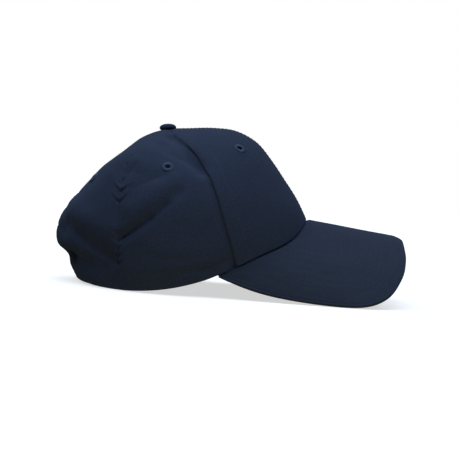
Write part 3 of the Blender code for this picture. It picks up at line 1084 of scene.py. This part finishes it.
def make_eyelets():
    """The six sewn eyelets, one model copied to each panel."""
    model = eyelet_model()
    for label, _, _, angle, way in PANELS:
        for side, word in ((-1, "right"), (1, "left")):
            mesh = model.data.copy()
            mesh.name = f"eyelet_ring_{label}_{word}"
            piece = new_object(mesh.name, mesh)
            degrees = np.array([side * angle])
            cloth, normal = crown_cloth(degrees, np.array([way]))
            centre = cloth[0] + normal[0] * EYELET_LIFT
            piece.data.transform(place_matrix(centre, normal[0]))
            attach(piece, "root")
            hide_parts(f"eyelet_{label}_{word}")
    bpy.data.objects.remove(model)


def make_button():
    """The button covered in the crown's cloth, gathered under its rim."""
    size = sizes()
    tilt = math.radians(BUTTON_TILT)
    upward = np.array([-math.sin(tilt), 0.0, math.cos(tilt)])
    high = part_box("button")[1]
    clear_selection()
    bpy.ops.mesh.primitive_uv_sphere_add(segments=96, ring_count=40, radius=1.0)
    piece = bpy.context.object
    piece.name = "button_cloth"
    piece.data.name = piece.name
    points = mesh_points(piece)
    flat, angle = polar(points)
    height = points[:, 2]
    reach = np.where(height < 0, flat ** FULL_UNDER, flat ** FULL_OVER)
    gather = np.clip((flat - GATHER_START) / GATHER_SPAN, 0.0, 1.0)
    gather = gather * np.clip(GATHER_LEVEL - height, 0.0, 1.0)
    creases = np.abs(np.sin(GATHERS * angle + 0.8 * np.sin(3 * angle))) ** 0.6
    reach = reach * (1 - GATHER_DEPTH * gather * (1 - creases))
    rim = RIM_SHARE * size.button_rise
    top = np.where(height > 0, height, 0.0) * (size.button_rise - rim)
    below = np.where(height < 0, height, 0.0) * (rim + size.button_sink)
    shaped = from_polar(size.button_radius * reach, angle, rim + top + below)
    set_points(piece, shaped)
    layer = piece.data.uv_layers.active or piece.data.uv_layers.new(name="cloth")
    loops = np.zeros(len(piece.data.loops), np.int32)
    piece.data.loops.foreach_get("vertex_index", loops)
    flat_map = shaped[:, :2] * (1 + 0.35 * flat ** 2)[:, None]
    layer.data.foreach_set("uv", flat_map[loops].astype(np.float32).ravel())
    bpy.ops.object.shade_smooth()
    seat = high.z - TOP_CARE - size.button_rise
    top_place = crown_base(np.array([0.0]), np.array([1.0]))[0]
    centre = np.array([top_place[0], 0.0, 0.0]) + upward * (seat / upward[2])
    centre[0] = top_place[0] + upward[0] * (seat - top_place[2])
    piece.data.transform(place_matrix(centre, upward))
    dress(piece, "button_twill")
    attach(piece, "root")
    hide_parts("button")


def stitch_model():
    """One stitch: a short length of thread whose ends dive into the cloth."""
    size = sizes()
    clear_selection()
    bpy.ops.mesh.primitive_cylinder_add(
        vertices=6, radius=size.thread_radius, depth=size.stitch_length, end_fill_type="NGON",
    )
    piece = bpy.context.object
    bpy.ops.object.mode_set(mode="EDIT")
    bpy.ops.mesh.select_all(action="SELECT")
    bpy.ops.mesh.bisect(plane_co=(0, 0, 0), plane_no=(0, 0, 1))
    bpy.ops.object.mode_set(mode="OBJECT")
    points = mesh_points(piece)
    faces = [tuple(face.vertices) for face in piece.data.polygons]
    bpy.data.objects.remove(piece)
    share = np.abs(points[:, 2]) / (0.5 * size.stitch_length)
    points[:, :2] *= 1 - STITCH_THINS * share[:, None] ** 2
    points[:, 1] -= STITCH_DIVES * size.thread_radius * share ** 2
    return points, faces


def on_line(points, total, place):
    """The point at a distance along a line."""
    return np.array([np.interp(place, total, points[:, k]) for k in range(3)])


def stitch_rows(name, rows, thread="topstitch_thread"):
    """A piece of many stitches. Each row is points along the cloth and directions out."""
    size = sizes()
    points, faces = stitch_model()
    pitch = size.stitch_length + size.stitch_gap
    placed = []
    rng = np.random.default_rng(17)
    for line, normals in rows:
        steps = np.linalg.norm(np.diff(line, axis=0), axis=1)
        total = np.concatenate([[0.0], np.cumsum(steps)])
        count = int(total[-1] / pitch)
        middles = (np.arange(count) + 0.5) * pitch
        for middle in middles:
            here = on_line(line, total, middle)
            ahead = on_line(line, total, middle + 0.4 * pitch)
            ahead -= on_line(line, total, middle - 0.4 * pitch)
            z = ahead / np.linalg.norm(ahead)
            x = np.cross(on_line(normals, total, middle), z)
            x /= np.linalg.norm(x)
            y = np.cross(z, x)
            turn = np.stack([x, y, z], axis=1)
            shift = x * rng.normal(0.0, STRAY)
            stand = y * STITCH_STANDS * size.thread_radius
            placed.append(points @ turn.T + here + shift + stand)
    count = len(points)
    every = np.concatenate(placed)
    all_faces = [tuple(v + k * count for v in face) for k in range(len(placed)) for face in faces]
    mesh = bpy.data.meshes.new(name)
    mesh.from_pydata(every.tolist(), [], all_faces)
    mesh.shade_smooth()
    piece = new_object(name, mesh)
    dress(piece, thread)
    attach(piece, "root")


def seam_row(seam, away, span):
    """A line of stitches beside a seam, a set distance away from it."""
    way = np.linspace(*span, LINE_POINTS)
    degrees = np.full(LINE_POINTS, seam)
    for _ in range(3):
        degrees = seam + away / span_per_degree(degrees, way)
    return crown_cloth(degrees, way)


def make_stitching():
    """Topstitching along the crown's seams and hem, and the visor's rows."""
    rows = []
    for seam in (0.0, 60.0, 120.0, 180.0, -120.0, -60.0):
        for away in (-SEAM_ROW, SEAM_ROW):
            rows.append(seam_row(seam, away, SEAM_SPAN))
    stitch_rows("crown_topstitching", rows)
    rows = [seam_row(60.0, -FRONT_ROW, FRONT_SPAN), seam_row(-60.0, FRONT_ROW, FRONT_SPAN)]
    stitch_rows("front_topstitching", rows, "front_thread")
    rows = []
    for start, end in HEM_RUNS:
        degrees = np.linspace(start, end, LINE_POINTS)
        way = HEM_ROW / rise_per_way(degrees, np.full(LINE_POINTS, 0.02))
        rows.append(crown_cloth(degrees, way))
    stitch_rows("hem_topstitching", rows)
    make_visor_stitching()


def make_visor_stitching():
    """Rows of stitches over the visor, each a set distance from its edge."""
    rows = []
    across = np.linspace(-VISOR_ENDS, VISOR_ENDS, VISOR_POINTS)
    length = np.linalg.norm(visor_forth(across), axis=1)
    for channel in CHANNELS:
        low = np.zeros(VISOR_POINTS)
        high = np.ones(VISOR_POINTS)
        for _ in range(SEARCH_STEPS):
            middle = 0.5 * (low + high)
            gap = visor_edge_distance(visor_surface(across, middle))
            low = np.where(gap > channel, middle, low)
            high = np.where(gap > channel, high, middle)
        out = 0.5 * (low + high)
        place = visor_surface(across, out)
        gap = visor_edge_distance(place)
        good = (np.abs(gap - channel) < ROW_CARE) & (out * length > HEM_CLEAR)
        place = place[good]
        down = visor_down(across[good], out[good])
        rise = visor_rise(place, gap[good], (out * length)[good])
        rows.append((place - down * rise[:, None], -down))
    stitch_rows("visor_topstitching", rows)


def make_studio():
    """A pale floor, soft light from above, a warm card below the lens, and the camera."""
    clear_selection()
    bpy.ops.mesh.primitive_plane_add(size=12.0, location=(0.0, 0.0, -0.0001))
    floor = bpy.context.object
    floor.name = "studio_floor"
    shader = new_finish("studio_floor")[1]
    set_inputs(shader, Base_Color=(*tuple(colours().floor), 1.0), Roughness=0.9)
    set_inputs(shader, Emission_Color=(1.0, 1.0, 1.0, 1.0), Emission_Strength=0.62)
    set_inputs(shader, Specular_IOR_Level=0.1)
    dress(floor, "studio_floor")
    floor.visible_diffuse = False
    floor.visible_glossy = False
    floor.visible_shadow = False
    for name, place, power, tint in LAMPS:
        light = bpy.data.lights.new(name, "AREA")
        light.shape = "DISK"
        light.size = LAMP_WIDTH
        light.energy = power
        light.color = tint
        lamp = new_object(name, light)
        lamp.matrix_world = place_matrix(place, Vector(place) - Vector(LAMP_TARGET))
    make_world()
    make_camera()
    bpy.context.scene.view_settings.view_transform = "Standard"


def make_world():
    """Bright sky above, dim below; plain white where the camera sees it."""
    world = bpy.data.worlds.new("studio")
    bpy.context.scene.world = world
    world.use_nodes = True
    tree = world.node_tree
    tree.nodes.clear()
    end = new_node(tree, "OutputWorld")
    place = new_node(tree, "TexCoord")
    split = new_node(tree, "SeparateXYZ")
    tree.links.new(place.outputs["Generated"], split.inputs[0])
    ramp = new_node(tree, "ValToRGB")
    height = math_node(tree, "MULTIPLY_ADD", split.outputs["Z"], 0.5, 0.5)
    tree.links.new(height, ramp.inputs[0])
    stops = ramp.color_ramp.elements
    stops[0].position = 0.0
    stops[0].color = (*SKY[0][1], 1.0)
    stops[1].position = 1.0
    stops[1].color = (*SKY[-1][1], 1.0)
    for where, tone in SKY[1:-1]:
        stops.new(where).color = (*tone, 1.0)
    light = new_node(tree, "Background")
    tree.links.new(ramp.outputs[0], light.inputs[0])
    white = new_node(tree, "Background", Color=(1.0, 1.0, 1.0, 1.0))
    path = new_node(tree, "LightPath")
    mix = new_node(tree, "MixShader")
    tree.links.new(path.outputs["Is Camera Ray"], mix.inputs[0])
    tree.links.new(light.outputs[0], mix.inputs[1])
    tree.links.new(white.outputs[0], mix.inputs[2])
    tree.links.new(mix.outputs[0], end.inputs[0])


def make_camera():
    """The camera at the photograph's viewing angle, 1 m away and a little above."""
    elevation = math.radians(VIEW_ELEVATION)
    data = bpy.data.cameras.new("photo_view")
    data.sensor_width = 36.0
    data.lens = LENS
    camera = new_object("photo_view", data)
    offset = VIEW_DISTANCE * Vector((0.0, -math.cos(elevation), math.sin(elevation)))
    turn = Matrix.Rotation(math.radians(90.0 - VIEW_ELEVATION), 4, "X")
    turn = turn @ Matrix.Rotation(math.radians(VIEW_ROLL), 4, "Z")
    camera.matrix_world = Matrix.Translation(Vector(VIEW_TARGET) + offset) @ turn
    bpy.context.scene.camera = camera


class CAP_OT_finishes(bpy.types.Operator):
    """Build the cloth and thread finishes."""

    bl_idname = "cap.finishes"
    bl_label = "Finishes"

    def execute(self, context):
        make_materials()
        return {"FINISHED"}


class CAP_OT_visor(bpy.types.Operator):
    """Cover the visor's board above and below."""

    bl_idname = "cap.visor"
    bl_label = "Visor"

    def execute(self, context):
        make_visor_pieces()
        return {"FINISHED"}


class CAP_OT_crown(bpy.types.Operator):
    """Sew the crown's six panels."""

    bl_idname = "cap.crown"
    bl_label = "Crown panels"

    def execute(self, context):
        for label, low, high, angle, way in PANELS:
            for side, word in ((-1, "right"), (1, "left")):
                make_panel(label, side, word, low, high, angle, way)
        make_tapes()
        return {"FINISHED"}


class CAP_OT_eyelets(bpy.types.Operator):
    """Sew the six eyelets."""

    bl_idname = "cap.eyelets"
    bl_label = "Eyelets"

    def execute(self, context):
        make_eyelets()
        return {"FINISHED"}


class CAP_OT_button(bpy.types.Operator):
    """Cover the button on top."""

    bl_idname = "cap.button"
    bl_label = "Button"

    def execute(self, context):
        make_button()
        return {"FINISHED"}


class CAP_OT_stitching(bpy.types.Operator):
    """Lay the rows of stitches."""

    bl_idname = "cap.stitching"
    bl_label = "Stitching"

    def execute(self, context):
        make_stitching()
        return {"FINISHED"}


class CAP_OT_studio(bpy.types.Operator):
    """Set the floor, light and camera."""

    bl_idname = "cap.studio"
    bl_label = "Studio"

    def execute(self, context):
        make_studio()
        return {"FINISHED"}


OPERATORS = (
    CAP_OT_finishes, CAP_OT_studio, CAP_OT_visor, CAP_OT_crown, CAP_OT_eyelets,
    CAP_OT_button, CAP_OT_stitching,
)


class CAP_PT_workshop(bpy.types.Panel):
    """Lists the cap's sizes, colours and pieces."""

    bl_label = "Six-panel cap"
    bl_idname = "CAP_PT_workshop"
    bl_space_type = "VIEW_3D"
    bl_region_type = "UI"
    bl_category = "Cap"

    def draw(self, context):
        for group in (context.scene.cap_sizes, context.scene.cap_colours):
            for name in group.__annotations__:
                self.layout.prop(group, name)
        for operator in OPERATORS:
            self.layout.operator(operator.bl_idname)


CLASSES = (CapSizes, CapColours, *OPERATORS, CAP_PT_workshop)


def register():
    for made in CLASSES:
        bpy.utils.register_class(made)
    bpy.types.Scene.cap_sizes = PointerProperty(type=CapSizes)
    bpy.types.Scene.cap_colours = PointerProperty(type=CapColours)


def unregister():
    del bpy.types.Scene.cap_colours
    del bpy.types.Scene.cap_sizes
    for made in reversed(CLASSES):
        bpy.utils.unregister_class(made)


def main():
    """Build the whole cap."""
    register()
    bpy.ops.cap.finishes()
    bpy.ops.cap.studio()
    bpy.ops.cap.visor()
    bpy.ops.cap.crown()
    bpy.ops.cap.eyelets()
    bpy.ops.cap.button()
    bpy.ops.cap.stitching()


if __name__ == "__main__":
    main()
